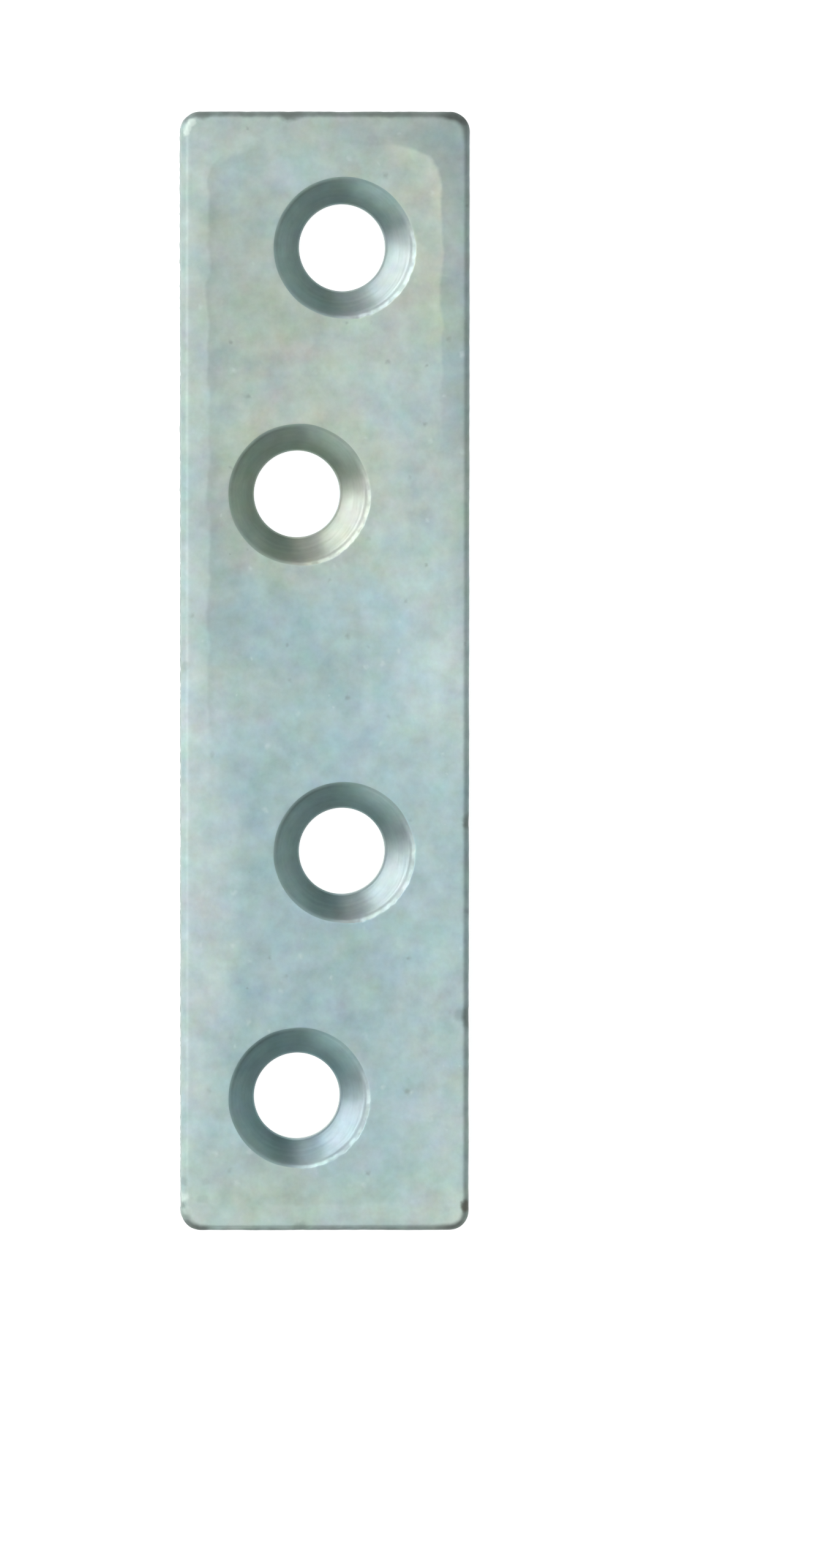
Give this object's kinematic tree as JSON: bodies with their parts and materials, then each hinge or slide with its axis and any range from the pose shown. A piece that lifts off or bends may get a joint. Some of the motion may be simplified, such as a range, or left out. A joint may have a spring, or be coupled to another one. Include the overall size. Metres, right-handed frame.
{
  "type": "mending plate",
  "caption": "Flat steel mending plate with rounded corners and staggered countersunk screw holes.",
  "frame": {"origin": "centre of the back face, which lies on the work", "axes": "+Z out of the front face, where the countersinks open; +Y along the strip; +X across it"},
  "size_m": [0.016, 0.062, 0.002],
  "materials": {
    "zinc_plate": "satin"
  },
  "bodies": {
    "root": {"mending_plate": "zinc_plate"}
  },
  "joints": []
}
